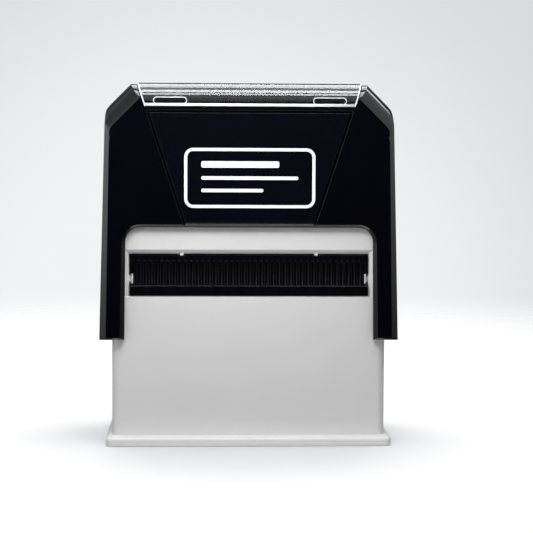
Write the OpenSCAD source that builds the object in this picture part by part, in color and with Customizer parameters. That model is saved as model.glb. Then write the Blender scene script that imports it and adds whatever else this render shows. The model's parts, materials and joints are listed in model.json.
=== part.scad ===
// Self-inking stamp, at rest: handle up, text plate facing the ink pad.
// X is the width, Y the depth (front towards -Y), Z up from the surface that it stands on.

/* [Handle] */
// Width across the ends of the two arms
handle_w_low = 53.4; // [53:0.1:55]
// Width at the foot of the shoulders
handle_w_high = 51.2; // [51:0.1:52]
// Depth at the ends of the arms
handle_d_low = 30.2; // [30:0.1:31]
// Depth at the foot of the shoulders
handle_d_high = 29.4; // [29.2:0.1:30]
// Height of the handle's flat top
handle_top = 64.4; // [64:0.1:66]
// Height of the lower ends of the arms
arm_low = 18.9; // [18.6:0.1:20]
// Leg of the 45 degree shoulder
shoulder = 4.5; // [4:0.1:5]
// Radius of the rounded edge between the flat top and the front face
crest_r = 4.7; // [4.4:0.1:4.9]
// Angle through which that edge turns before it meets the front face in a crease
crest_turn = 65; // [60:1:70]
// Bevel up the narrow sides of the front face
side_bevel = 1.2; // [0.8:0.1:1.4]
// Half width of the front opening at its foot
opening_half_low = 22.2; // [22:0.1:22.4]
// Half width of the front opening at its top
opening_half_high = 22; // [21.8:0.1:22.2]
// Height of the top of the front opening
opening_top = 39; // [38.5:0.1:39.5]
// Radius of the opening's upper corners
opening_r = 2.6; // [2:0.1:3]

/* [Handle inserts] */
// Half width of the front panel at its top
panel_half_high = 17.8; // [17:0.1:18]
// Half width of the front panel at its foot
panel_half_low = 11.4; // [11:0.1:12]
// Height of the panel's top edge
panel_high = 59.3; // [59:0.1:59.6]
// Height of the panel's lower edge
panel_low = 39.8; // [39.7:0.1:40.5]
// Thickness of the panel and depth of its pocket
panel_t = 0.7; // [0.5:0.1:0.8]
// Half width of the index window at its lip
window_half_low = 18.6; // [18:0.1:19]
// Half width of the index window at its top
window_half_high = 19.9; // [19.5:0.1:20.2]
// Height of the index window's lower lip
window_lip = 60.4; // [60.3:0.1:60.6]
// Thickness of the index window
window_t = 1.1; // [1:0.1:1.2]
// How far the index window stands out of the handle
window_proud = 0.25; // [0.1:0.05:0.3]
// Height of the wedge under the index window's lip
lip_wedge = 0.55; // [0.4:0.05:0.7]

/* [Frame] */
// Width of the frame's body
frame_w = 49; // [48.8:0.1:49]
// Depth of the frame's body
frame_d = 26; // [25.8:0.1:26.1]
// Height of the frame's upper edge
frame_top = 41.5; // [41:0.1:41.8]
// Thickness of the front and rear walls
frame_wall = 1.8; // [1.6:0.1:2]
// Thickness of the side walls
side_wall = 2.2; // [2.1:0.1:2.4]
// Width of the base flange
flange_w = 51; // [50.6:0.1:51.4]
// Depth of the base flange
flange_d = 31.2; // [31:0.1:32]
// Height of the flange and base ring together
flange_h = 1.6; // [1.4:0.1:2]
// Rounding of the flange's upper edge
flange_round = 0.45; // [0.3:0.05:0.6]
// Sill of the cartridge window
sill = 26.6; // [26.5:0.05:26.65]
// Lintel of the cartridge window
lintel = 34.2; // [34.2:0.1:34.5]
// Half width of the cartridge window
cartridge_gap = 21.45; // [21.4:0.05:21.6]

/* [Cartridge] */
// Half width of the ink cartridge
case_half = 21.3; // [21:0.1:21.3]
// Number of grip ribs on each face
grip_ribs = 40; // [30:1:41]
// Half width and half depth of the ink pad
pad_half = [19.5, 9.5]; // [9:0.1:20]
// Height of the pad's inked face
pad_face = 26.7; // [26.65:0.05:26.8]

/* [Text plate and platen] */
// Width of the text plate
plate_w = 36; // [30:0.5:36]
// Depth of the text plate
plate_d = 14; // [10:0.5:14]
// Distance from the axle to the printing face
face_r = 4.9; // [4.8:0.05:4.9]
// Half length of the platen
platen_half = 21.8; // [21.6:0.1:21.9]
// Half depth of the platen
platen_half_d = 8; // [7.5:0.1:8.2]

/* [Motion] */
// Downward travel of the handle
travel = 16.5; // [16:0.1:16.5]
// Height of the platen's axle at rest
axle_z = 21.5; // [21.4:0.1:21.6]
// Radius of the axle pins
axle_r = 1.2; // [1:0.1:1.3]
// Radius at which the cam pins turn about the axle
cam_arm = 5; // [4.5:0.1:5.2]
// Radius of the cam pins
cam_r = 0.9; // [0.8:0.05:1]
// Height of the lock buttons
lock_z = 44; // [43.9:0.1:44.4]
// Handle drop at which the lock buttons engage
lock_drop = 4.4; // [4.2:0.1:4.8]

/* [Return spring] */
// Wire diameter
wire_d = 0.8; // [0.6:0.05:0.8]
// Outer diameter of the coil
coil_d = 9.4; // [9:0.1:9.6]
// Number of turns
turns = 9; // [7:1:9]

/* [Hidden] */
$fn = 48;
over = 0.5;                // how far a cutter reaches past what it cuts
slip = 0.1;                // clearance of a sliding or seated piece

black = [0.03, 0.03, 0.04];
off_white = [0.88, 0.87, 0.86];
steel = [0.7, 0.71, 0.73];

// handle shell
shoulder_z = handle_top - shoulder;
draft_x = (handle_w_low - handle_w_high) / 2 / (shoulder_z - arm_low);
draft_y = (handle_d_low - handle_d_high) / 2 / (shoulder_z - arm_low);
shoulder_sum = handle_w_high / 2 + shoulder_z;   // x + z along the shoulder
shoulder_inset = 3;        // width of the rounded band along the shoulders
shoulder_ease = 0.7;       // rounding where the shoulders meet the sides
foot_bevel = 0.5;          // bevel under the arms
cavity_x = 24.75;
cavity_y = 13.2;
cavity_z = 62.5;
cavity_crest = 58.3;       // where the cavity's front and rear start to lean in
cavity_top_y = 10;
cavity_shoulder = shoulder_sum - 3 * sqrt(2);
rim_bevel = 0.55;          // bevel around the front opening

// crest between the top and the front face
crest_fall = crest_r * (1 - cos(crest_turn));
crest_y = face_y(handle_top) - crest_r * sin(crest_turn);

// frame
ring_h = flange_h / 2;
deck_low = 34.4;           // underside of the floor that carries the spring
deck_high = 36.4;
frame_corner = 1.5;
frame_chamfer = 1.8;       // lets the frame's top clear the handle's shoulders
window_bevel = 0.8;
spring_top = cavity_z;
channel_x = 23.05;         // floor of the lock button channels
channel_half = 3.2;
channel_low = 23.4;
groove_depth = 1.2;
cam_play = 0.15;

// platen stack, measured from the axle towards the printing face
platen_back = -1.6;
platen_face = 2.2;
foam_t = 0.5;
die_t = 1.2;
relief_half = [17, 6];

// cartridge
case_low = 26.75;
case_high = 34.05;
case_face = 12.6;          // flush face, from the middle
case_lip = 12.95;          // finger lip under the ribs
rib_low = 28.5;
rib_high = 32.95;
rib_depth = 0.5;

// channels along the cartridge that its catches run in
jamb_channel = [0.75, 1.9];   // depth and height
jamb_channel_z = 29.75;
lintel_channel = [1.1, 0.25]; // width and depth
lintel_channel_x = 12;

function handle_half(z) = handle_w_low / 2 - (z - arm_low) * draft_x;
function face_y(z) = handle_d_low / 2 - (z - arm_low) * draft_y;
// Height at which the side, moved in by side_in, meets the shoulder line x + z = s
function shoulder_foot(side_in, s) =
    (s - handle_w_low / 2 - arm_low * draft_x + side_in) / (1 - draft_x);

// Extrudes an outline drawn in X and Z over the depth from y0 to y1
module along_y(y0, y1) {
    translate([0, y1, 0]) rotate([90, 0, 0]) linear_extrude(y1 - y0) children();
}

// Extrudes an outline drawn in Y and Z over the width from x0 to x1
module along_x(x0, x1) {
    translate([x0, 0, 0]) rotate([90, 0, 90]) linear_extrude(x1 - x0) children();
}

// A polygon and its mirror image in the vertical axis, from its right half
module both_sides(half) {
    n = len(half);
    polygon(concat(half, [for (i = [n - 1:-1:0]) [-half[i][0], half[i][1]]]));
}

module rounded_rect(w, d, r) {
    square([w - 2 * r, d], center = true);
    square([w, d - 2 * r], center = true);
    for (x = [-1, 1], y = [-1, 1])
        translate([x * (w / 2 - r), y * (d / 2 - r)]) circle(r);
}

// Two half circles of radius r, their centres reach apart
module stadium(r, reach, upright = false) {
    rotate(upright ? 90 : 0) {
        square([reach, 2 * r], center = true);
        for (s = [-1, 1]) translate([s * reach / 2, 0]) circle(r);
    }
}

// Handle

// Front view of the handle, its sides, shoulders, top and feet moved in by the given amounts
module handle_outline(side_in, shoulder_in, top_in, foot_in) {
    s = shoulder_sum - shoulder_in * sqrt(2);
    foot = shoulder_foot(side_in, s);
    high = handle_top - top_in;
    side = handle_half(foot) - side_in;
    ease = shoulder_ease;
    both_sides([
        [handle_w_low / 2 - side_in, arm_low + foot_in],
        [side + ease * draft_x, foot - ease],
        [side - 0.12 * ease, foot - 0.3 * ease],
        [side - 0.3 * ease, foot + 0.12 * ease],
        [side - ease, foot + ease],
        [s - high, high]
    ]);
}

// The handle's outer form: slabs that step round the crest, the last few of them narrowed by the
// side bevel, and a foremost slab that holds the face out below the crest. Its lean is cut last.
module handle_form() {
    half_d = handle_d_low / 2;
    bevel_y = half_d - side_bevel;
    bevel_turn = asin((bevel_y - crest_y) / crest_r);
    steps = 6;
    turns = concat(
        [for (i = [0:steps]) bevel_turn * i / steps], [(bevel_turn + crest_turn) / 2, crest_turn]
    );
    intersection() {
        hull() {
            for (turn = turns) {
                y = crest_y + crest_r * sin(turn);
                bevel = turn > bevel_turn ? y - bevel_y + 0.02 : 0;
                fall = crest_r * (1 - cos(turn));
                along_y(-y, y) handle_outline(
                    bevel, fall * shoulder_inset / crest_fall, fall, 2 * bevel
                );
            }
            along_y(-half_d, half_d) handle_outline(
                side_bevel, shoulder_inset + 4, crest_fall + 4, foot_bevel
            );
        }
        along_x(-handle_w_low, handle_w_low) both_sides([
            [face_y(arm_low - over), arm_low - over],
            [face_y(handle_top + over), handle_top + over]
        ]);
    }
}

module handle_cavity() {
    intersection() {
        along_y(-cavity_y, cavity_y) both_sides([
            [cavity_x, arm_low - over], [cavity_x, cavity_shoulder - cavity_x],
            [cavity_shoulder - cavity_z, cavity_z]
        ]);
        along_x(-cavity_x, cavity_x) both_sides([
            [cavity_y, arm_low - over], [cavity_y, cavity_crest], [cavity_top_y, cavity_z]
        ]);
    }
}

// Front opening between the arms, grown by grow all round
module opening_outline(grow) {
    mid = opening_top - opening_r;
    c = opening_half_high - opening_r;
    both_sides([
        [opening_half_low + grow, arm_low - over], [opening_half_high + grow, mid], [0, mid]
    ]);
    translate([-c, mid]) square([2 * c, opening_r + grow]);
    for (s = [-1, 1]) translate([s * c, mid]) circle(opening_r + grow);
}

module opening_bevel() {
    face = face_y(opening_top);
    hull() {
        along_y(-face - over, -face - over + 0.01) opening_outline(rim_bevel + over);
        along_y(-face + rim_bevel, -face + rim_bevel + 0.01) opening_outline(0);
    }
}

module panel_outline(gap) {
    slope = (panel_half_high - panel_half_low) / (panel_high - panel_low);
    both_sides([
        [panel_half_low + gap - slope * gap, panel_low - gap],
        [panel_half_high + gap + slope * gap, panel_high + gap]
    ]);
}

// The panel's seat, with a groove down each side that runs into the opening's rim
module panel_seat() {
    groove = 0.4;
    difference() {
        panel_outline(groove);
        translate([-panel_half_low, panel_low - 1]) square([2 * panel_half_low, 0.9]);
    }
}

// Slab that follows the leaning front face, from depth t below it to out above it
module front_slab(t, out) {
    low = panel_low - over;
    high = panel_high + over;
    along_x(-handle_w_low, handle_w_low) polygon([
        [-face_y(low) - out, low], [-face_y(low) + t, low],
        [-face_y(high) + t, high], [-face_y(high) - out, high]
    ]);
}

// Slots in the index window's lips, with round ends
module window_slots() {
    slot = [5.9, 1.2];
    for (x = [-14.1, 14.1])
        translate([x, window_lip + 0.4 + slot[1] / 2]) stadium(slot[1] / 2, slot[0] - slot[1]);
}

module window_outline(gap) {
    lean = (window_half_high - window_half_low) / (handle_top - window_lip);
    both_sides([
        [window_half_low + gap, window_lip - gap],
        [window_half_high + gap + 2 * lean, handle_top + 2]
    ]);
}

// Side profile of the index window: its rounded outer skin, moved in by in
module window_profile(in) {
    steps = 9;
    low = window_lip - (in > 0 ? over : 0);
    front = face_y(window_lip) + window_proud - in;
    r = crest_r + window_proud - in;
    edge = [for (i = [steps:-1:0])
        let (turn = crest_turn * i / steps)
        [crest_y + r * sin(turn), handle_top - crest_r + r * cos(turn)]
    ];
    both_sides(concat([[front, low], [front, edge[0][1] - 0.15]], edge));
}

// Cuts the index window's lip to a wedge, which carries light down to its edge
module lip_undercut() {
    front = face_y(window_lip) + window_proud - 0.1;
    both_sides([
        [front, window_lip - over], [front, window_lip],
        [front - lip_wedge, window_lip + lip_wedge]
    ]);
}

module lock_hole(r_gap) {
    along_x(cavity_x - over, handle_w_low / 2) translate([0, lock_z]) stadium(1.6 + r_gap, 1.8);
}

module handle_cover() {
    post_h = 2.2;
    color(black) difference() {
        handle_form();
        difference() {
            handle_cavity();
            translate([0, 0, cavity_z - post_h])
                cylinder(h = post_h + over, r = coil_d / 2 - wire_d - 0.3);
        }
        along_y(-handle_d_low, handle_d_low) opening_outline(0);
        for (turn = [0, 180]) rotate(turn) {
            opening_bevel();
            intersection() {
                along_y(-handle_d_low, handle_d_low) panel_seat();
                front_slab(panel_t, over);
            }
            lock_hole(0.12);
            translate([cavity_x - over, 0, axle_z]) rotate([0, 90, 0]) cylinder(h = 1.7, r = axle_r);
        }
        difference() {
            along_y(-handle_d_low, handle_d_low) window_outline(slip);
            along_x(-handle_w_low, handle_w_low) window_profile(window_t + slip);
        }
    }
}

module front_panel() {
    color([0.05, 0.05, 0.07]) intersection() {
        along_y(-handle_d_low, handle_d_low) panel_outline(0);
        front_slab(panel_t, 0);
    }
}

module rear_panel() {
    rotate(180) front_panel();
}

module index_window() {
    color([0.8, 0.86, 0.9, 0.4]) intersection() {
        along_y(-handle_d_low, handle_d_low) difference() {
            window_outline(0);
            window_slots();
        }
        difference() {
            along_x(-handle_w_low, handle_w_low) window_profile(0);
            along_x(-handle_w_low, handle_w_low) window_profile(window_t);
            along_x(-handle_w_low, handle_w_low) lip_undercut();
        }
    }
}

// A button with an inner flange that keeps it in the wall and a nose that enters the frame
module lock_button_right() {
    flange = [23.8, 24.5];
    head = handle_half(lock_z) + 0.35;
    color([0.45, 0.46, 0.48]) {
        along_x(flange[1] - slip, head) translate([0, lock_z]) stadium(1.6, 1.8);
        along_x(flange[0], flange[1]) translate([0, lock_z]) stadium(2.1, 1.8);
        translate([flange[0] - 0.5, 0, lock_z]) rotate([0, 90, 0]) cylinder(h = 0.6, r = 0.9);
    }
}

module lock_button_left() {
    rotate(180) lock_button_right();
}

module axle_pin_right() {
    reach = [19.1, 25.85];
    color(steel) translate([reach[0], 0, axle_z]) rotate([0, 90, 0])
        cylinder(h = reach[1] - reach[0], r = axle_r);
}

module axle_pin_left() {
    rotate(180) axle_pin_right();
}

// Points round the wire at one place along the coil
function wire_ring(t, r, low, high, sides) =
    let (a = 360 * turns * t, pitch = atan((high - low) / (turns * 2 * PI * r)))
    [for (j = [0:sides - 1])
        let (b = 360 * j / sides, out = cos(b) * wire_d / 2, up = sin(b) * wire_d / 2)
        [
            (r + out) * cos(a) + up * sin(pitch) * sin(a),
            (r + out) * sin(a) - up * sin(pitch) * cos(a),
            low + (high - low) * t + up * cos(pitch)
        ]
    ];

module return_spring() {
    sides = 8;
    steps = 20 * turns;
    r = (coil_d - wire_d) / 2;
    low = deck_high + wire_d / 2 + 0.02;
    high = spring_top - wire_d / 2 - 0.02;
    points = [for (i = [0:steps]) each wire_ring(i / steps, r, low, high, sides)];
    walls = [for (i = [0:steps - 1], j = [0:sides - 1])
        let (k = (j + 1) % sides)
        [i * sides + j, i * sides + k, (i + 1) * sides + k, (i + 1) * sides + j]
    ];
    start = [for (j = [sides - 1:-1:0]) j];
    end = [for (j = [0:sides - 1]) steps * sides + j];
    color(steel) polyhedron(points, concat([start], walls, [end]));
}

// Frame

// Path of a cam pin's centre while the axle falls and the platen turns over
function cam_path(turn) =
    [cam_arm * cos(turn), axle_z - travel * turn / 180 + cam_arm * sin(turn)];

// Groove that the cam pin runs in, drawn in Y and Z
module cam_groove() {
    r = cam_r + cam_play;
    step = 7.5;
    ways = [for (t = [0:step:180])
        let (
            a = cam_path(max(t - 1, 0)), b = cam_path(min(t + 1, 180)),
            d = b - a, n = [-d[1], d[0]] / norm(d)
        )
        [cam_path(t), n * r]
    ];
    last = len(ways) - 1;
    polygon(concat(
        [for (w = ways) w[0] + w[1]], [for (i = [last:-1:0]) ways[i][0] - ways[i][1]]
    ));
    for (t = [0, 180]) translate(cam_path(t)) circle(r);
}

// Slot that the axle pin rides in, drawn in Y and Z
module axle_slot() {
    translate([0, axle_z - travel / 2]) stadium(axle_r + slip, travel, upright = true);
}

// Window in the frame, its sides and lintel moved out by grow
module cartridge_window(grow) {
    translate([-cartridge_gap - grow, sill])
        square([2 * (cartridge_gap + grow), lintel - sill + grow]);
}

module window_frame_bevel() {
    face = frame_d / 2;
    hull() {
        along_y(-face - over, -face - over + 0.01) cartridge_window(window_bevel + over);
        along_y(-face + window_bevel, -face + window_bevel + 0.01) cartridge_window(0);
    }
}

// Channels in the cartridge's sides and top that the catches of its window run in
module catch_channels() {
    for (s = [0, 1]) mirror([s, 0, 0]) {
        translate([case_half - jamb_channel[0], -frame_d, jamb_channel_z - jamb_channel[1] / 2])
            cube([jamb_channel[0] + over, 2 * frame_d, jamb_channel[1]]);
        translate([lintel_channel_x - lintel_channel[0] / 2, -frame_d, case_high - lintel_channel[1]])
            cube([lintel_channel[0], 2 * frame_d, lintel_channel[1] + over]);
    }
}

// The flange's upper half, its top edge rounded
module flange_form() {
    steps = 4;
    hull() for (i = [0:steps]) {
        in = flange_round * (1 - cos(90 * i / steps));
        linear_extrude(flange_h - ring_h - flange_round * (1 - sin(90 * i / steps)))
            rounded_rect(flange_w - 2 * in, flange_d - 2 * in, 1.2 - in);
    }
}

module frame_walls() {
    inner_w = frame_w - 2 * side_wall;
    inner_d = frame_d - 2 * frame_wall;
    intersection() {
        translate([0, 0, ring_h]) difference() {
            linear_extrude(frame_top - ring_h) rounded_rect(frame_w, frame_d, frame_corner);
            translate([0, 0, -over]) linear_extrude(deck_low - ring_h + over)
                rounded_rect(inner_w, inner_d, 0.6);
            translate([0, 0, deck_high - ring_h]) linear_extrude(frame_top)
                rounded_rect(inner_w, inner_d, 0.6);
        }
        along_y(-frame_d, frame_d) both_sides([
            [frame_w / 2, 0], [frame_w / 2, frame_top - frame_chamfer],
            [frame_w / 2 - frame_chamfer, frame_top]
        ]);
    }
}

module frame_housing() {
    cup_h = 4.2;
    post_h = 3;
    lock_hole_z = lock_z - lock_drop;
    color(off_white) difference() {
        union() {
            frame_walls();
            translate([0, 0, ring_h]) difference() {
                flange_form();
                translate([0, 0, flange_h / 2])
                    cube([frame_w - side_wall, frame_d - frame_wall, 2 * flange_h], center = true);
            }
            translate([0, 0, deck_high - over]) difference() {
                cylinder(h = cup_h + over, d = coil_d + 3.6);
                translate([0, 0, over]) cylinder(h = cup_h + over, d = coil_d + 1.2);
            }
            translate([0, 0, deck_high - over])
                cylinder(h = post_h + over, r = coil_d / 2 - wire_d - 0.3);
        }
        along_y(-frame_d, frame_d) cartridge_window(0);
        for (turn = [0, 180]) rotate(turn) {
            window_frame_bevel();
            along_x(channel_x, frame_w) translate([-channel_half, channel_low])
                square([2 * channel_half, frame_top]);
            along_x(channel_x - 2, channel_x + over) translate([0, lock_hole_z]) circle(1.15);
        }
        for (side = [-1, 1]) {
            inner = frame_w / 2 - side_wall;
            mirror([side < 0 ? 1 : 0, 0, 0]) {
                along_x(inner - over, frame_w) axle_slot();
                along_x(inner - over, inner + groove_depth) cam_groove();
            }
        }
    }
}

module base_ring() {
    clip = [4, 0.7, 2.8];
    clip_y = frame_d / 2 - frame_wall - clip[1];
    color(off_white) {
        linear_extrude(ring_h) difference() {
            rounded_rect(flange_w, flange_d, 1.2);
            rounded_rect(frame_w - 2 * side_wall, frame_d - 2 * frame_wall, 0.6);
        }
        for (x = [-12, 12], turn = [0, 180]) rotate(turn) {
            translate([x - clip[0] / 2, clip_y, 0]) cube(clip);
            translate([x - clip[0] / 2, clip_y, 0]) cube([clip[0], clip[1] + over, ring_h]);
        }
    }
}

// Cartridge

module grip_face() {
    pitch = 2 * (case_half - 0.6) / grip_ribs;
    rib_w = pitch * 0.55;
    difference() {
        translate([-case_half + 0.5, -case_face - over, rib_low])
            cube([2 * case_half - 1, over + rib_depth, rib_high - rib_low]);
        for (i = [0:grip_ribs - 1])
            translate([(i + 0.5) * pitch - case_half + 0.6 - rib_w / 2, -case_face, rib_low - over])
                cube([rib_w, 2 * rib_depth, rib_high - rib_low + 2 * over]);
    }
}

module pad_case() {
    pocket = [2 * pad_half[0] + 0.1, 2 * pad_half[1] + 0.1];
    roof = 2;
    color(black) difference() {
        union() {
            translate([-case_half, -case_face, case_low])
                cube([2 * case_half, 2 * case_face, case_high - case_low]);
            translate([-case_half, -case_lip, case_low])
                cube([2 * case_half, 2 * case_lip, rib_low - case_low]);
        }
        translate([-pocket[0] / 2, -pocket[1] / 2, case_low - over])
            cube([pocket[0], pocket[1], case_high - roof - case_low + over]);
        for (turn = [0, 180]) rotate(turn) grip_face();
        catch_channels();
    }
}

module ink_pad() {
    high = case_high - 2;
    color([0.06, 0.06, 0.1]) translate([-pad_half[0], -pad_half[1], pad_face])
        cube([2 * pad_half[0], 2 * pad_half[1], high - pad_face]);
}

// Platen, drawn about the axle with its printing face up

module platen() {
    bore_deep = 3;
    pocket = [16, 5.4, 1];
    color([0.25, 0.25, 0.27]) translate([0, 0, axle_z]) difference() {
        translate([-platen_half, -platen_half_d, platen_back])
            cube([2 * platen_half, 2 * platen_half_d, platen_face - platen_back]);
        for (x = [-9.2, 9.2], y = [-3.9, 3.9])
            translate([x - pocket[0] / 2, y - pocket[1] / 2, platen_back - over])
                cube([pocket[0], pocket[1], pocket[2] + over]);
        for (side = [-1, 1]) {
            translate([side * (platen_half - bore_deep / 2 + over / 2), 0, 0]) rotate([0, 90, 0])
                cylinder(h = bore_deep + over, r = axle_r + 0.05, center = true);
            translate([side * platen_half, cam_arm, 0]) rotate([0, 90, 0])
                cylinder(h = 2.4, r = cam_r, center = true);
        }
    }
}

module cushion_foam() {
    color([0.3, 0.32, 0.35]) translate([-plate_w / 2, -plate_d / 2, axle_z + platen_face])
        cube([plate_w, plate_d, foam_t]);
}

// Generic relief: a border and rows of plain bars
module rubber_die() {
    base = axle_z + platen_face + foam_t;
    relief_t = face_r - platen_face - foam_t - die_t;
    border = 0.7;
    bar_h = 1.6;
    color([0.55, 0.18, 0.14]) {
        translate([-plate_w / 2, -plate_d / 2, base]) cube([plate_w, plate_d, die_t]);
        translate([0, 0, base + die_t]) linear_extrude(relief_t) {
            difference() {
                square(2 * relief_half, center = true);
                square(2 * relief_half - 2 * [border, border], center = true);
            }
            for (row = [-1, 0, 1], i = [0:4 - abs(row)])
                translate([(i - (4 - abs(row)) / 2) * 5.6 - 2.1, row * 3.1 - bar_h / 2])
                    square([4.2, bar_h]);
        }
    }
}

module cam_pin_right() {
    reach = [platen_half - 1.2, 23.2];
    color(steel) translate([reach[0], cam_arm, axle_z]) rotate([0, 90, 0])
        cylinder(h = reach[1] - reach[0], r = cam_r);
}

module cam_pin_left() {
    mirror([1, 0, 0]) cam_pin_right();
}

handle_cover();
front_panel();
rear_panel();
index_window();
lock_button_left();
lock_button_right();
axle_pin_left();
axle_pin_right();
return_spring();
frame_housing();
base_ring();
pad_case();
ink_pad();
platen();
cushion_foam();
rubber_die();
cam_pin_left();
cam_pin_right();
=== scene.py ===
"""A self-inking hand stamp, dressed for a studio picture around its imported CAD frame."""

import json
import math
import random

import bmesh
import bpy
from mathutils import Matrix, Vector
from mathutils.geometry import convex_hull_2d


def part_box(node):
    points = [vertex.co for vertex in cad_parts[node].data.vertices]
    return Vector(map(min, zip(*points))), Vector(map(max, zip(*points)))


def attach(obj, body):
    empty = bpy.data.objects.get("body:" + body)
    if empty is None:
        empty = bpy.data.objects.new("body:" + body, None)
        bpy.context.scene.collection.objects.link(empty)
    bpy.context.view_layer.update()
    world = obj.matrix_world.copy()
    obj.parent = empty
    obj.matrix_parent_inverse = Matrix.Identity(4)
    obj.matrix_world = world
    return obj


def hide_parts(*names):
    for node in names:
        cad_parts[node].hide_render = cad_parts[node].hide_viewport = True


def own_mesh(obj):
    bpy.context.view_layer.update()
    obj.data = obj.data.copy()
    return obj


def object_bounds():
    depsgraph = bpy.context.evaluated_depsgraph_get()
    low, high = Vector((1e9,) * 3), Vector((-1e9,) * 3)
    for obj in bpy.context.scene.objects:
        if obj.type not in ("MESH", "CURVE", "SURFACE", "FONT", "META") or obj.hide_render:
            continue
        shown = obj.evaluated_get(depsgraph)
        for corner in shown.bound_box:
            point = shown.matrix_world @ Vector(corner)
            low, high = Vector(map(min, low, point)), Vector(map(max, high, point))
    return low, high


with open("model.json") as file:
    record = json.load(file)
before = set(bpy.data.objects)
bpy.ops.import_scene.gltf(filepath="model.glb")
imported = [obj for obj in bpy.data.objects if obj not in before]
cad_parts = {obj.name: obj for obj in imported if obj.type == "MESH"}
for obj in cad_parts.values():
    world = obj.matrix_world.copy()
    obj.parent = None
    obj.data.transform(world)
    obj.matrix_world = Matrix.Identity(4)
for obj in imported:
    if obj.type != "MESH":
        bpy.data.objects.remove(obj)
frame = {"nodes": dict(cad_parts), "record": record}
cad_lo, cad_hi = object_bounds()
nodes = frame["nodes"]
MM = 0.001


# ---------------------------------------------------------------- camera

AZIMUTH = 0.0429                            # radians, the camera stands a little to the left
ELEVATION = 0.0697                          # radians, looking slightly down
ROLL = 0.0047                               # radians
DISTANCE = 0.300                            # from the aim point, metres
AIM = Vector((0.00365, 0.0, 0.03111))
LENS, SENSOR = 108.5, 36.0                  # millimetres
CLIP = (0.01, 20.0)                         # nearest and farthest that it sees, metres


def make_camera():
    """The photograph's view: nearly straight on, with the camera slightly left and above."""
    forward = Vector((math.sin(AZIMUTH) * math.cos(ELEVATION),
                      math.cos(AZIMUTH) * math.cos(ELEVATION), -math.sin(ELEVATION)))
    right = Vector((math.cos(AZIMUTH), -math.sin(AZIMUTH), 0.0))
    up = right.cross(forward)
    x_axis = math.cos(ROLL) * right + math.sin(ROLL) * up
    y_axis = -math.sin(ROLL) * right + math.cos(ROLL) * up
    turn = Matrix((x_axis, y_axis, -forward)).transposed().to_4x4()
    data = bpy.data.cameras.new("camera")
    data.lens, data.sensor_width = LENS, SENSOR
    data.clip_start, data.clip_end = CLIP
    camera = bpy.data.objects.new("camera", data)
    bpy.context.scene.collection.objects.link(camera)
    camera.matrix_world = Matrix.Translation(AIM - forward * DISTANCE) @ turn
    bpy.context.scene.camera = camera


# ---------------------------------------------------------------- materials

# A Mix node's sockets for colours. Their names are shared with those for other types.
MIX_FACTOR, MIX_A, MIX_B, MIX_RESULT = 0, 6, 7, 2


class Tree:
    """Shorthand for building a node tree."""

    def __init__(self, tree):
        self.tree = tree

    def add(self, kind, **settings):
        node = self.tree.nodes.new("ShaderNode" + kind)
        for key, value in settings.items():
            setattr(node, key, value)
        return node

    def link(self, a, b):
        self.tree.links.new(a, b)

    def remap(self, value, low, high, to_low, to_high, soft=False):
        """Value moved from the low-high range to the to_low-to_high one, eased if soft."""
        node = self.add("MapRange")
        if soft:
            node.interpolation_type = "SMOOTHSTEP"
        for key, number in zip(("From Min", "From Max", "To Min", "To Max"),
                               (low, high, to_low, to_high)):
            node.inputs[key].default_value = number
        self.link(value, node.inputs["Value"])
        return node.outputs["Result"]

    def combine(self, operation, a, b):
        """A Math node. Each of a and b is a socket or a number."""
        node = self.add("Math", operation=operation)
        for socket, value in zip(node.inputs, (a, b)):
            if isinstance(value, bpy.types.NodeSocket):
                self.link(value, socket)
            else:
                socket.default_value = value
        return node.outputs[0]

    def mix(self, factor, colour_a, colour_b):
        """Colour a where the factor is 0, and colour b where it is 1."""
        node = self.add("Mix", data_type="RGBA")
        node.inputs[MIX_A].default_value = (*colour_a, 1.0)
        node.inputs[MIX_B].default_value = (*colour_b, 1.0)
        self.link(factor, node.inputs[MIX_FACTOR])
        return node.outputs[MIX_RESULT]


class Nodes(Tree):
    """One Principled material, built on the object's own coordinates."""

    def __init__(self, name, **sockets):
        self.mat = bpy.data.materials.new(name)
        self.mat.use_nodes = True
        super().__init__(self.mat.node_tree)
        self.shader = self.tree.nodes["Principled BSDF"]
        for key, value in sockets.items():
            self.shader.inputs[key.replace("_", " ")].default_value = value

    def place(self, stretch=(1, 1, 1)):
        """The object's own coordinates in metres, scaled along each axis."""
        coords = self.add("TexCoord")
        mapping = self.add("Mapping")
        mapping.inputs["Scale"].default_value = stretch
        self.link(coords.outputs["Object"], mapping.inputs["Vector"])
        return mapping.outputs["Vector"]

    def noise(self, size, detail=2.0, rough=0.5, stretch=(1, 1, 1)):
        """Noise with features about size metres across, longer along an axis scaled down."""
        node = self.add("TexNoise")
        node.inputs["Scale"].default_value = 1.0 / size
        node.inputs["Detail"].default_value = detail
        node.inputs["Roughness"].default_value = rough
        self.link(self.place(stretch), node.inputs["Vector"])
        return node.outputs["Fac"]

    def cells(self, size):
        """Round cells about size metres across."""
        node = self.add("TexVoronoi")
        node.inputs["Scale"].default_value = 1.0 / size
        self.link(self.place(), node.inputs["Vector"])
        return node.outputs["Distance"]

    def colour(self, source):
        self.link(source, self.shader.inputs["Base Color"])

    def roughness(self, source):
        self.link(source, self.shader.inputs["Roughness"])

    def bump(self, *layers):
        """Layers of (height, distance in metres, strength), one over the other."""
        normal = None
        for height, distance, strength in layers:
            node = self.add("Bump")
            node.inputs["Distance"].default_value = distance
            node.inputs["Strength"].default_value = strength
            self.link(height, node.inputs["Height"])
            if normal is not None:
                self.link(normal, node.inputs["Normal"])
            normal = node.outputs["Normal"]
        self.link(normal, self.shader.inputs["Normal"])


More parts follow.
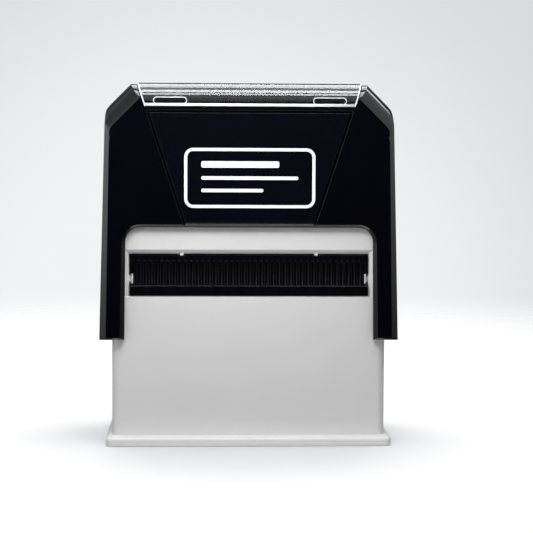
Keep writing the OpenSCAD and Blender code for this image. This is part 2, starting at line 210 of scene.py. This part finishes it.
def gloss_black(name, base, shade, rough):
    """Polished black moulding: hair scratches, faint smears and the slightest wave."""
    n = Nodes(name, IOR=1.5)
    smear = n.noise(7 * MM, detail=3.0, rough=0.55)
    wave = n.noise(6 * MM, detail=1.0)
    scratch = n.noise(0.35 * MM, detail=3.0, rough=0.6, stretch=(0.12, 1, 1))
    n.colour(n.mix(smear, base, shade))
    n.roughness(n.remap(smear, 0.35, 0.7, rough, rough + 0.05))
    n.bump((wave, 0.02 * MM, 0.15), (scratch, 0.001 * MM, 0.25))
    return n.mat


def satin(name, base, shade, rough, grain=0.12 * MM, strength=0.2, vary=0.05):
    """Moulded satin plastic: a fine spark-eroded grain over a slow drift of tone."""
    n = Nodes(name, IOR=1.46)
    n.colour(n.mix(n.noise(9 * MM), base, shade))
    n.roughness(n.remap(n.noise(1.5 * MM, detail=3.0), 0.3, 0.7, rough - vary, rough + vary))
    n.bump((n.noise(grain, rough=0.6), 0.01 * MM, strength))
    return n.mat


def handled_black():
    """The cartridge's black: satin, with hair scratches across it where fingers pull it."""
    n = Nodes("cartridge_black", IOR=1.5)
    scratch = n.noise(0.5 * MM, detail=4.0, rough=0.7, stretch=(0.10, 1, 1.6))
    mark = n.remap(scratch, 0.66, 0.74, 0.0, 1.0)
    n.colour(n.mix(mark, (0.0012, 0.0012, 0.0030), (0.0060, 0.0060, 0.0080)))
    n.roughness(n.remap(n.noise(1.2 * MM, detail=3.0), 0.3, 0.7, 0.17, 0.26))
    n.bump((scratch, 0.002 * MM, 0.12))
    return n.mat


def clear_plastic():
    """Clear polished polystyrene with a cool cast and faint handling marks."""
    n = Nodes("clear_plastic", Base_Color=(0.93, 0.96, 0.985, 1.0), IOR=1.57,
              Transmission_Weight=1.0)
    mark = n.noise(0.6 * MM, detail=1.0, stretch=(0.10, 1, 1))
    n.roughness(n.remap(n.noise(3 * MM, detail=3.0), 0.45, 0.75, 0.005, 0.04))
    n.bump((mark, 0.0005 * MM, 0.05))
    return n.mat


def painted_edge_highlight():
    """A painted highlight for the window's cut edges: a pale, barely clear white standing in for
    the light they gather from the whole sheet.
    """
    n = Nodes("painted_edge_highlight", IOR=1.5, Transmission_Weight=0.10, Roughness=0.2)
    n.colour(n.mix(n.noise(1.5 * MM), (0.93, 0.95, 0.97), (0.82, 0.85, 0.89)))
    n.bump((n.noise(0.4 * MM, stretch=(0.2, 1, 1)), 0.004 * MM, 0.2))
    return n.mat


def ground_steel(name, base, shade, rough, along):
    """Ground or drawn steel, streaked along one axis: 0, 1 or 2."""
    n = Nodes(name, Metallic=1.0)
    stretch = tuple(0.06 if i == along else 1.0 for i in range(3))
    streak = n.noise(0.12 * MM, detail=3.0, rough=0.6, stretch=stretch)
    n.colour(n.mix(n.noise(1.6 * MM, detail=3.0), base, shade))
    n.roughness(n.remap(streak, 0.3, 0.7, rough, rough + 0.14))
    n.bump((streak, 0.004 * MM, 0.3))
    return n.mat


def inked_felt():
    """Felt soaked with black ink: matted fibres, wetter and shinier in patches."""
    n = Nodes("ink_felt", IOR=1.45, Sheen_Weight=0.12)
    fibre = n.noise(0.16 * MM, detail=5.0, rough=0.75, stretch=(1, 0.35, 1))
    wet = n.noise(3.5 * MM, detail=3.0)
    n.colour(n.mix(fibre, (0.004, 0.004, 0.010), (0.020, 0.020, 0.036)))
    n.roughness(n.remap(wet, 0.35, 0.65, 0.45, 0.9))
    n.bump((wet, 0.05 * MM, 0.4), (fibre, 0.06 * MM, 0.8))
    return n.mat


def cell_foam():
    """Closed-cell foam: a skin of small round cells."""
    n = Nodes("foam_grey", IOR=1.4)
    cell = n.cells(0.22 * MM)
    n.colour(n.mix(cell, (0.08, 0.085, 0.09), (0.17, 0.18, 0.19)))
    n.roughness(n.remap(cell, 0.0, 0.7, 0.95, 0.75))
    n.bump((cell, 0.05 * MM, 0.7), (n.noise(0.9 * MM), 0.03 * MM, 0.3))
    return n.mat


def print_ink():
    """White pad print: dense, with a slight orange peel and thinner spots."""
    n = Nodes("print_white", IOR=1.45)
    n.colour(n.mix(n.noise(0.5 * MM, detail=3.0), (0.88, 0.90, 0.94), (0.78, 0.81, 0.87)))
    n.roughness(n.remap(n.noise(0.3 * MM), 0.3, 0.7, 0.45, 0.60))
    n.bump((n.noise(0.12 * MM), 0.004 * MM, 0.2))
    return n.mat


MATERIALS = {
    "handle_black": gloss_black("handle_black", (0.0008, 0.0008, 0.0022),
                                (0.0013, 0.0013, 0.0032), rough=0.09),
    "panel_black": satin("panel_black", (0.0007, 0.0007, 0.0024), (0.0013, 0.0013, 0.0042),
                         rough=0.25, grain=0.10 * MM, strength=0.15, vary=0.015),
    "clear_plastic": clear_plastic(),
    "button_grey": satin("button_grey", (0.19, 0.20, 0.22), (0.22, 0.23, 0.25), rough=0.40),
    "pin_steel": ground_steel("pin_steel", (0.58, 0.58, 0.60), (0.50, 0.50, 0.52),
                              rough=0.24, along=2),
    "spring_steel": ground_steel("spring_steel", (0.50, 0.50, 0.52), (0.40, 0.40, 0.42),
                                 rough=0.26, along=0),
    "frame_white": satin("frame_white", (0.745, 0.735, 0.73), (0.71, 0.70, 0.70),
                         rough=0.36, grain=0.15 * MM, strength=0.10),
    "cartridge_black": handled_black(),
    "ink_felt": inked_felt(),
    "platen_grey": satin("platen_grey", (0.045, 0.046, 0.05), (0.06, 0.06, 0.066), rough=0.5),
    "foam_grey": cell_foam(),
    "die_rubber": satin("die_rubber", (0.27, 0.045, 0.032), (0.22, 0.035, 0.026), rough=0.6),
}
PRINT = print_ink()
# A pale white painted on the window's cut edges: a painted highlight for the light carried
# through the clear sheet.
PAINTED_EDGE_HIGHLIGHT = painted_edge_highlight()


# ---------------------------------------------------------------- the CAD nodes

WELD_DISTANCE = 0.002 * MM
FLAT_ANGLE = math.radians(0.6)              # faces as near to one plane as this are joined
EDGE_ANGLE = math.radians(20)               # edges sharper than this are rounded
EDGE_SEGMENTS = 3

# How wide each node's edges are rounded, in millimetres. Faces are not joined where one with
# holes would fold over itself. The width is not clamped where the node's closest edges would
# hold all its others to almost nothing.
JOINED_CLAMPED = {
    "front_panel": 0.14, "rear_panel": 0.14, "lock_button_left": 0.15,
    "lock_button_right": 0.15, "axle_pin_left": 0.12, "axle_pin_right": 0.12,
    "base_ring": 0.18, "pad_case": 0.09, "cam_pin_left": 0.10, "cam_pin_right": 0.10,
}
JOINED_FREE = {"index_window": 0.06, "platen": 0.14}
WHOLE_FREE = {"handle_cover": 0.10, "frame_housing": 0.10, "rubber_die": 0.06}


def slot_of(name):
    """The material slot that the record gives a CAD node."""
    return next(p["material_slot"] for p in frame["record"]["subparts"] if p["node"] == name)


def finish_node(name, width, join, clamp):
    """Welds a CAD node's mesh, clears its triangulation and rounds its edges, by modifiers."""
    node = nodes[name]
    node.modifiers.new("weld", "WELD").merge_threshold = WELD_DISTANCE
    if join:
        clean = node.modifiers.new("clean", "DECIMATE")
        clean.decimate_type, clean.angle_limit = "DISSOLVE", FLAT_ANGLE
    bevel = node.modifiers.new("edges", "BEVEL")
    bevel.width, bevel.segments, bevel.miter_outer = width, EDGE_SEGMENTS, "MITER_ARC"
    bevel.limit_method, bevel.angle_limit = "ANGLE", EDGE_ANGLE
    bevel.use_clamp_overlap = clamp
    node.modifiers.new("normals", "WEIGHTED_NORMAL").keep_sharp = False
    for slot in node.material_slots:
        slot.material = MATERIALS[slot_of(name)]


for widths, join, clamp in ((JOINED_CLAMPED, True, True), (JOINED_FREE, True, False),
                            (WHOLE_FREE, False, False)):
    for name, width in widths.items():
        finish_node(name, width * MM, join, clamp)


# ---------------------------------------------------------------- pieces of their own

def new_piece(name, bm, body, material, smooth=True):
    """Makes an object of the mesh, which rides a CAD body."""
    mesh = bpy.data.meshes.new(name)
    bmesh.ops.recalc_face_normals(bm, faces=bm.faces)
    for face in bm.faces:
        face.smooth = smooth
    bm.to_mesh(mesh)
    bm.free()
    mesh.materials.append(material)
    piece = bpy.data.objects.new(name, mesh)
    bpy.context.scene.collection.objects.link(piece)
    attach(piece, body)
    return piece


def skin(bm, rings, closed=False):
    """Joins rings of vertices into a tube, capped unless it closes on itself."""
    pairs = list(zip(rings, rings[1:])) + ([(rings[-1], rings[0])] if closed else [])
    for a, b in pairs:
        for k in range(len(a)):
            j = (k + 1) % len(a)
            bm.faces.new((a[k], a[j], b[j], b[k]))
    if not closed:
        bm.faces.new(rings[0])
        bm.faces.new(rings[-1])


WIRE_RADIUS = 0.4 * MM
TURNS, CLOSED_TURNS = 9, 1.0                # in all, and lying closed at each end
STEPS_PER_TURN, WIRE_SIDES = 40, 12
CLOSED_RISE = 2 * WIRE_RADIUS * 1.02        # of the closed turns, just clear of each other


def make_spring():
    """The coil spring: closed, ground ends and even turns between them."""
    lo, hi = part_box("return_spring")
    radius = (hi[0] - lo[0]) / 2 - WIRE_RADIUS
    centre = ((hi[0] + lo[0]) / 2, (hi[1] + lo[1]) / 2)
    low, high = lo[2] + WIRE_RADIUS, hi[2] - WIRE_RADIUS
    bm = bmesh.new()
    rings = []
    for i in range(TURNS * STEPS_PER_TURN + 1):
        turn = i / STEPS_PER_TURN
        if turn < CLOSED_TURNS:
            z = low + CLOSED_RISE * turn / CLOSED_TURNS
        elif turn > TURNS - CLOSED_TURNS:
            z = high - CLOSED_RISE * (TURNS - turn) / CLOSED_TURNS
        else:
            share = (turn - CLOSED_TURNS) / (TURNS - 2 * CLOSED_TURNS)
            z = low + CLOSED_RISE + (high - low - 2 * CLOSED_RISE) * share
        angle = 2 * math.pi * turn
        ring = []
        for k in range(WIRE_SIDES):
            a = 2 * math.pi * k / WIRE_SIDES
            r = radius + WIRE_RADIUS * math.cos(a)
            height = min(max(z + WIRE_RADIUS * math.sin(a), lo[2]), hi[2])
            ring.append(bm.verts.new((centre[0] + r * math.cos(angle),
                                      centre[1] + r * math.sin(angle), height)))
        rings.append(ring)
    skin(bm, rings)
    spring = new_piece("coil_spring", bm, "frame", MATERIALS["spring_steel"])
    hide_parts("return_spring")
    height = hi[2] - lo[2]
    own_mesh(spring)


def soft_block(name, node, body, step, corner, crown, roughen, seed):
    """A pad or foam sheet in a node's box: rounded edges, a crowned face and uneven skin.
    step is the size of its mesh and corner its upright corners' radius. crown is how far the
    edges of the lower and upper faces draw in from the middle."""
    lo, hi = (Vector(v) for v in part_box(node))
    size, mid = hi - lo, (hi + lo) / 2
    fade = 1.6 * corner                                  # the crown's reach in from an edge
    pinch = crown * 0.6                                  # the sides draw in above and below
    bm = bmesh.new()
    bmesh.ops.create_cube(bm, size=1.0)
    cuts = [max(1, int(s / step)) for s in size]
    for axis, count in enumerate(cuts):
        for k in range(1, count):
            at = -0.5 + k / count
            normal = [0.0, 0.0, 0.0]
            normal[axis] = 1.0
            bmesh.ops.bisect_plane(bm, geom=bm.verts[:] + bm.edges[:] + bm.faces[:],
                                   plane_co=[at * n for n in normal], plane_no=normal)
    chance = random.Random(seed)
    for v in bm.verts:
        p = Vector((v.co[i] * size[i] for i in range(3)))
        for i in range(2):                               # round the upright corners
            j = 1 - i
            over = abs(p[j]) - (size[j] / 2 - corner)
            if over > 0 and abs(p[i]) > size[i] / 2 - corner:
                centre = Vector((math.copysign(size[0] / 2 - corner, p[0]),
                                 math.copysign(size[1] / 2 - corner, p[1])))
                arm = Vector(p[:2]) - centre
                reach = max(abs(arm[0]), abs(arm[1]))
                if arm.length > 1e-9:
                    p[0], p[1] = centre + arm * (reach / arm.length)
                break
        outside = [abs(abs(c) - 0.5) < 1e-6 for c in v.co]      # on the cube's own faces
        edge = min(size[0] / 2 - abs(p[0]), size[1] / 2 - abs(p[1]))
        sink = math.exp(-edge / fade)
        if outside[2]:
            p[2] -= math.copysign(crown * sink, p[2])
            p[2] -= math.copysign(chance.random() * roughen, p[2])
        bulge = 1 - (2 * v.co[2]) ** 2                   # the sides stand out at mid height
        pull = pinch * (1 - bulge)
        for i in range(2):
            if outside[i]:
                p[i] -= math.copysign(pull + chance.random() * roughen, p[i])
        v.co = mid + p
    piece = new_piece(name, bm, body, MATERIALS[slot_of(node)])
    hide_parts(node)


def rounded_outline(x, z, half_w, half_h, r, steps=6):
    """Points round a rectangle with rounded corners, its middle at x, z."""
    points = []
    for quarter in range(4):
        cx = x + (half_w - r) * (1 if quarter in (0, 3) else -1)
        cz = z + (half_h - r) * (1 if quarter in (0, 1) else -1)
        for k in range(steps + 1):
            a = math.pi / 2 * (quarter + k / steps)
            points.append((cx + r * math.cos(a), cz + r * math.sin(a)))
    return points


PRINT_HEIGHT, PRINT_DEPTH = 0.02 * MM, 0.02 * MM     # over and under the panel's face
PRINT_PLACE = 0.41                          # of the way up the panel
OUTLINE_HALF_W, OUTLINE_HALF_H = 11.6 * MM, 5.3 * MM
OUTLINE_RADIUS, OUTLINE_LINE = 1.6 * MM, 0.55 * MM
BAR_RADIUS = 0.3 * MM
# Each bar's left and right end, height, and place above the middle, in millimetres.
BARS = ((-8.6, 5.2, 1.15, 2.4), (-8.6, 8.6, 0.62, 0.0), (-8.6, 2.4, 0.62, -2.2))


def flat_shape(bm, outline, on_panel, hole=None):
    """Adds a thin plate of the given outline on the panel, perhaps with a hole in it."""
    def ring(points, out):
        return [bm.verts.new(on_panel(x, z, out)) for x, z in points]
    low, high = ring(outline, -PRINT_DEPTH), ring(outline, PRINT_HEIGHT)
    count = len(outline)
    for k in range(count):
        bm.faces.new((low[k], low[(k + 1) % count], high[(k + 1) % count], high[k]))
    if hole is None:
        bm.faces.new(high)
        bm.faces.new(low)
        return
    low_in, high_in = ring(hole, -PRINT_DEPTH), ring(hole, PRINT_HEIGHT)
    for k in range(count):
        j = (k + 1) % count
        bm.faces.new((low_in[k], low_in[j], high_in[j], high_in[k]))
        bm.faces.new((high[k], high[j], high_in[j], high_in[k]))
        bm.faces.new((low[k], low[j], low_in[j], low_in[k]))


def make_print():
    """A generic pictogram on the front panel: an outlined impression holding bars."""
    lo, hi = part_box("front_panel")
    verts = [v.co for v in nodes["front_panel"].data.vertices]
    foot = min((v.y, v.z) for v in verts if v.z < lo[2] + 0.1 * MM)
    head = min((v.y, v.z) for v in verts if v.z > hi[2] - 0.1 * MM)
    lean = (head[0] - foot[0]) / (head[1] - foot[1])

    def on_panel(x, z, out):
        return (x, foot[0] + (z - foot[1]) * lean - out, z)

    mid_x, mid_z = (lo[0] + hi[0]) / 2, lo[2] + PRINT_PLACE * (hi[2] - lo[2])
    bm = bmesh.new()
    outer, inner = (rounded_outline(mid_x, mid_z, OUTLINE_HALF_W - inset, OUTLINE_HALF_H - inset,
                                    OUTLINE_RADIUS - inset) for inset in (0.0, OUTLINE_LINE))
    flat_shape(bm, outer, on_panel, inner)
    for left, right, tall, rise in BARS:
        flat_shape(bm, rounded_outline(mid_x + (left + right) / 2 * MM, mid_z + rise * MM,
                                       (right - left) / 2 * MM, tall / 2 * MM,
                                       BAR_RADIUS, steps=4), on_panel)
    mark = new_piece("panel_print", bm, "handle", PRINT, smooth=False)


def sweep(bm, points, radii, closed=False, around=10):
    """A bead along points, each (position, outward normal). radii: across, and outward."""
    rings = []
    count = len(points)
    for i, (at, out) in enumerate(points):
        before = points[i - 1][0] if closed or i else at
        after = points[(i + 1) % count][0] if closed or i < count - 1 else at
        along = (after - before).normalized()
        across = along.cross(out).normalized()
        rings.append([bm.verts.new(at + across * (radii[0] * math.cos(a)) +
                                   out * (radii[1] * math.sin(a)))
                      for a in (2 * math.pi * k / around for k in range(around))])
    skin(bm, rings, closed)


NEAR = 0.01 * MM                            # a vertex as near a border as this is on it
SIDE_BEAD = (0.12 * MM, 0.03 * MM)          # the beads' radii across and outward
LIP_BEAD = (0.25 * MM, 0.05 * MM)
SLOT_BEAD = (0.065 * MM, 0.03 * MM)
BEAD_INSET = 0.10 * MM                      # of the sides' beads and the lips' ends
LIP_SINK, LIP_RISE = 0.01 * MM, 0.28 * MM   # of the lips' beads: inward, and over the foot
SLOT_INSET = 0.04 * MM                      # of a slot's bead into the slot
SLOT_ZONE = (0.35 * MM, 1.65 * MM)          # heights between which the slots are looked for
SLOT_CLEAR = 0.5 * MM                       # sideways, from the slots' ends and the lips'


def side_profile(verts, lo, hi, lip_half, slope):
    """The outer outline of the window's side, as (y, z) from the back's foot to the front's."""
    side = [Vector((v.y, v.z)) for v in verts
            if v.x > lip_half + (v.z - lo[2]) * slope - 2 * NEAR]
    hull = [side[i] for i in convex_hull_2d(side)]
    return sorted((p for p in hull if p.y > lo[2] + NEAR or abs(p.x) > hi[1] - NEAR),
                  key=lambda p: math.atan2(p.y - lo[2] + 2 * MM, p.x))


def make_window_edge_highlights():
    """Pale beads on the index window's cut edges, its sides, its lips and its slots: a painted
    highlight where light carried through the sheet shines.
    """
    lo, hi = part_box("index_window")
    verts = [v.co for v in nodes["index_window"].data.vertices]
    lip_half = max(v.x for v in verts if v.z < lo[2] + NEAR)
    slope = (hi[0] - lip_half) / (hi[2] - lo[2])         # of the window's sides
    outer = side_profile(verts, lo, hi, lip_half, slope)
    bm = bmesh.new()
    for sign in (-1, 1):
        path = []
        for i, p in enumerate(outer):
            a, b = outer[max(i - 1, 0)], outer[min(i + 1, len(outer) - 1)]
            out = Vector((0, b.y - a.y, a.x - b.x)).normalized()
            half = lip_half + (p.y - lo[2]) * slope - BEAD_INSET
            path.append((Vector((sign * half, p.x, p.y)), out))
        sweep(bm, path, SIDE_BEAD)

    upright = max(p.y for p in outer if p.x < lo[1] + NEAR)
    arc = sorted((p for p in outer if p.x < 0 and p.y >= upright - 1e-7), key=lambda p: p.y)

    def surface(z):
        """Depth of the window's front face at height z, and its outward normal."""
        for a, b in zip(arc, arc[1:]):
            if z > upright and a.y <= z <= b.y:
                y = a.x + (b.x - a.x) * (z - a.y) / (b.y - a.y)
                return y, Vector((0, -(b.y - a.y), b.x - a.x)).normalized()
        return lo[1], Vector((0, -1, 0))

    zone = [v for v in verts if lo[2] + SLOT_ZONE[0] < v.z < lo[2] + SLOT_ZONE[1]]
    slot_x = [v.x for v in zone if 0 < v.x < lip_half - SLOT_CLEAR]
    slot_z = [v.z for v in zone if 0 < v.x < max(slot_x) - SLOT_CLEAR and v.y < 0]
    mid_x, half_x = (max(slot_x) + min(slot_x)) / 2, (max(slot_x) - min(slot_x)) / 2
    mid_z, half_z = (max(slot_z) + min(slot_z)) / 2, (max(slot_z) - min(slot_z)) / 2
    ring_w, ring_h = half_x - SLOT_INSET, half_z - SLOT_INSET
    ring_r = ring_h - 0.001 * MM                         # so that no two points meet
    for turn in (1, -1):                                 # the front, then the back
        lip_y = turn * (lo[1] + LIP_SINK)
        path = [(Vector((x * (lip_half - BEAD_INSET), lip_y, lo[2] + LIP_RISE)),
                 Vector((0, -turn, 0))) for x in (-1, -0.6, -0.2, 0.2, 0.6, 1)]
        sweep(bm, path, LIP_BEAD)
        for sign in (-1, 1):
            ring = []
            for x, z in rounded_outline(sign * mid_x, mid_z, ring_w, ring_h, ring_r, steps=5):
                y, out = surface(z)
                ring.append((Vector((x, turn * y, z)), Vector((0, turn * out.y, out.z))))
            sweep(bm, ring, SLOT_BEAD, closed=True, around=8)
    # The beads wear the painted edge highlight: pale white where the window's cut edges would
    # shine.
    edges = new_piece("window_edge_highlights", bm, "window", PAINTED_EDGE_HIGHLIGHT)


def block(bm, lo, hi, bevel):
    """A box between two corners, its edges rounded."""
    made = bmesh.ops.create_cube(bm, size=1.0)["verts"]
    for v in made:
        v.co = Vector((lo[i] + (v.co[i] + 0.5) * (hi[i] - lo[i]) for i in range(3)))
    edges = {e for v in made for e in v.link_edges}
    bmesh.ops.bevel(bm, geom=list(edges), offset=bevel, segments=2, affect="EDGES",
                    profile=0.5)


CATCH_FRONT, CATCH_DEPTH = -12.45 * MM, 1.1 * MM     # where their faces are, and their depth
STEM_FRONT, STEM_MARGIN = 0.6 * MM, 0.2 * MM         # behind a catch's face, in from its ends
TOP_CATCH_X, TOP_CATCH_HALF = 12 * MM, 0.32 * MM     # place to either side, and half the width
SIDE_EDGE, TOP_EDGE = 0.08 * MM, 0.05 * MM           # how wide their edges are rounded


def make_catches():
    """Small catches on the window's edges, which run in the cartridge's channels."""
    lo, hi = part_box("pad_case")
    inner, outer, root = hi[0] - 0.58 * MM, hi[0] - 0.30 * MM, hi[0] + 0.3 * MM
    bottom, top = lo[2] + 2.15 * MM, lo[2] + 3.85 * MM
    back = CATCH_FRONT + CATCH_DEPTH
    bm = bmesh.new()
    for s in (-1, 1):
        x = sorted((s * inner, s * outer))
        block(bm, (x[0], CATCH_FRONT, bottom), (x[1], back, top), SIDE_EDGE)
        x = sorted((s * inner, s * root))
        block(bm, (x[0], CATCH_FRONT + STEM_FRONT, bottom + STEM_MARGIN),
              (x[1], back, top - STEM_MARGIN), SIDE_EDGE)
        block(bm, (s * TOP_CATCH_X - TOP_CATCH_HALF, CATCH_FRONT, hi[2] - 0.12 * MM),
              (s * TOP_CATCH_X + TOP_CATCH_HALF, back, hi[2] + 0.3 * MM), TOP_EDGE)
    catches = new_piece("window_catches", bm, "frame", MATERIALS["frame_white"])


make_spring()
soft_block("felt_pad", "ink_pad", "cartridge", step=0.8 * MM, corner=0.9 * MM,
           crown=0.18 * MM, roughen=0.03 * MM, seed=11)
soft_block("foam_sheet", "cushion_foam", "carrier", step=0.5 * MM, corner=0.4 * MM,
           crown=0.05 * MM, roughen=0.008 * MM, seed=12)
make_print()
make_window_edge_highlights()
make_catches()


# ---------------------------------------------------------------- stage

FLOOR_RADIUS = 3.0
FLOOR_COLOUR = (0.94, 0.945, 0.955, 1.0)
FLOOR_FADE = (0.07, 0.32)                   # radii between which it melts into the backdrop
FLOOR_PASS = 0.50                           # share of the diffuse rays that pass through it
# Half of the hole under the object, just inside the base's own outline.
FOOT_HALF = [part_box("base_ring")[1][i] - 0.3 * MM for i in range(2)]


def make_floor():
    """A pale round table that melts into the backdrop behind the object. It is open from below
    and under the base, so that the underside and the mechanism are lit."""
    bpy.ops.mesh.primitive_circle_add(vertices=128, radius=FLOOR_RADIUS, fill_type="NGON")
    table = bpy.context.object
    table.name = "floor"
    n = Nodes("floor_paper", Base_Color=FLOOR_COLOUR, Roughness=0.9)
    place = n.place()
    radius = n.add("VectorMath", operation="LENGTH")
    n.link(place, radius.inputs[0])
    far = n.remap(radius.outputs["Value"], *FLOOR_FADE, 0.0, 1.0, soft=True)
    split = n.add("SeparateXYZ")
    n.link(place, split.inputs[0])
    foot = [n.combine("LESS_THAN", n.combine("ABSOLUTE", split.outputs[i], 0.0), FOOT_HALF[i])
            for i in range(2)]
    hidden = far
    for share in (n.add("NewGeometry").outputs["Backfacing"],
                  n.combine("MULTIPLY", *foot),
                  n.combine("MULTIPLY", n.add("LightPath").outputs["Is Diffuse Ray"],
                            FLOOR_PASS)):
        hidden = n.combine("MAXIMUM", hidden, share)
    blend = n.add("MixShader")
    n.link(hidden, blend.inputs[0])
    n.link(n.shader.outputs[0], blend.inputs[1])
    n.link(n.add("BsdfTransparent").outputs[0], blend.inputs[2])
    n.link(blend.outputs[0], n.tree.nodes["Material Output"].inputs["Surface"])
    table.data.materials.append(n.mat)
    table.visible_glossy = False
    return table


# ---------------------------------------------------------------- light

BACKDROP_BRIGHT = (0.885, 0.893, 0.910)
BACKDROP_DIM = (0.695, 0.702, 0.722)
GLOW_AT = (0.002, 0.994, -0.109)            # direction in which the backdrop is brightest
GLOW_FADE = (0.10, 0.29)                    # distances from it between which it dims
TENT_COLOUR = (0.97, 0.985, 1.0, 1.0)
TENT_DIFFUSE = 0.22                         # the tent's strength for diffuse rays


def make_world():
    """A light tent: brighter to the left, dark round the camera and at the back, and dim
    overhead, underneath and high on the left. Diffuse rays see less of it than reflections do.
    The camera sees a plain backdrop instead, glowing a little left of the middle."""
    world = bpy.data.worlds.new("tent")
    bpy.context.scene.world = world
    world.use_nodes = True
    t = Tree(world.node_tree)
    coords = t.add("TexCoord")
    split = t.add("SeparateXYZ")
    t.link(coords.outputs["Generated"], split.inputs[0])
    x, y, z = split.outputs
    turned = t.combine("MULTIPLY", t.combine("ABSOLUTE", x, 0.0), 0.55)
    front = t.remap(t.combine("ADD", y, turned), -0.64, -0.50, 0.015, 1.0, soft=True)
    above = t.remap(z, 0.72, 0.88, 1.0, 0.25, soft=True)
    below = t.remap(z, -0.13, 0.09, 0.25, 1.7, soft=True)
    side = t.remap(x, -0.9, 0.9, 1.45, 0.60, soft=True)
    back = t.remap(y, 0.40, 0.60, 1.0, 0.10, soft=True)
    corner = t.remap(t.combine("MULTIPLY", x, z), -0.45, -0.15, 0.25, 1.0, soft=True)
    path = t.add("LightPath")
    diffuse = t.remap(path.outputs["Is Diffuse Ray"], 0.0, 1.0, 1.0, TENT_DIFFUSE)
    strength = front
    for factor in (above, below, side, back, corner, diffuse):
        strength = t.combine("MULTIPLY", strength, factor)
    tent = t.add("Background")
    tent.inputs["Color"].default_value = TENT_COLOUR
    t.link(strength, tent.inputs["Strength"])
    away = t.add("VectorMath", operation="DISTANCE")
    t.link(coords.outputs["Generated"], away.inputs[0])
    away.inputs[1].default_value = GLOW_AT
    dimming = t.remap(away.outputs["Value"], *GLOW_FADE, 0.0, 1.0, soft=True)
    seen = t.add("Background")
    t.link(t.mix(dimming, BACKDROP_BRIGHT, BACKDROP_DIM), seen.inputs["Color"])
    mix = t.add("MixShader")
    t.link(path.outputs["Is Camera Ray"], mix.inputs[0])
    t.link(tent.outputs[0], mix.inputs[1])
    t.link(seen.outputs[0], mix.inputs[2])
    t.link(mix.outputs[0], world.node_tree.nodes["World Output"].inputs["Surface"])


def soft_light(name, at, size, radiance, aim, diffuse=True, glossy=True):
    """A rectangular softbox of the given radiance, seen by diffuse or glossy rays or both."""
    data = bpy.data.lights.new(name, "AREA")
    data.shape, data.size, data.size_y = "RECTANGLE", size[0], size[1]
    data.energy = radiance * math.pi * size[0] * size[1]
    light = bpy.data.objects.new(name, data)
    bpy.context.scene.collection.objects.link(light)
    light.location = at
    light.rotation_euler = (Vector(aim) - Vector(at)).to_track_quat("-Z", "Y").to_euler()
    light.visible_camera = False
    light.visible_transmission = False
    light.visible_diffuse, light.visible_glossy = diffuse, glossy
    return light


def keep_off(light, obj):
    """Light linking: the light doesn't reach this one object."""
    group = bpy.data.collections.new(light.name + "_excludes")
    group.objects.link(obj)
    group.collection_objects[0].light_linking.link_state = "EXCLUDE"
    light.light_linking.receiver_collection = group


# Softboxes, each with its name, place, size, radiance and the point that it faces.
MIDDLE = (0.0, 0.0, 0.03)
CREST = (0.0, 0.0, cad_hi[2])
FOOT_GAP, FOOT_HEIGHT = 0.0015, 0.0015      # of the flange's own light: before it, and up
REFLECTIONS = (
    ("strip_back_gloss", (0.0, -0.030, 0.494), (0.50, 0.106), 11.0, CREST),
    ("strip_front_gloss", (0.0, -0.140, 0.472), (0.50, 0.070), 9.0, CREST),
    ("back_top_gloss", (0.0, 0.253, 0.413), (0.50, 0.270), 4.8, CREST),
    ("right_edge_gloss", (0.29, 0.18, 0.33), (0.07, 0.07), 7.0, MIDDLE),
)
FILLS = (
    ("top_fill", (0.02, 0.02, 0.45), (0.50, 0.35), 3.6, MIDDLE),
    ("back_fill", (0.0, 0.24, 0.40), (0.50, 0.30), 1.8, MIDDLE),
)
FILLS_OFF_FLOOR = (
    ("front_fill", (-0.010, -0.060, 0.078), (0.05, 0.03), 8.6, MIDDLE),
    ("foot_fill", (0.0, cad_lo[1] - FOOT_GAP, FOOT_HEIGHT), (0.053, 0.0016), 0.5,
     (0.0, 0.0, FOOT_HEIGHT)),
)

make_camera()
floor = make_floor()
make_world()
for row in REFLECTIONS:
    soft_light(*row, diffuse=False)
for row in FILLS:
    soft_light(*row, glossy=False)
for row in FILLS_OFF_FLOOR:
    keep_off(soft_light(*row, glossy=False), floor)
soft_light("under_fill", (0.0, -0.05, -0.25), (0.30, 0.30), 2.2, MIDDLE)
bpy.context.scene.view_settings.view_transform = "Standard"
bpy.context.scene.view_settings.look = "None"
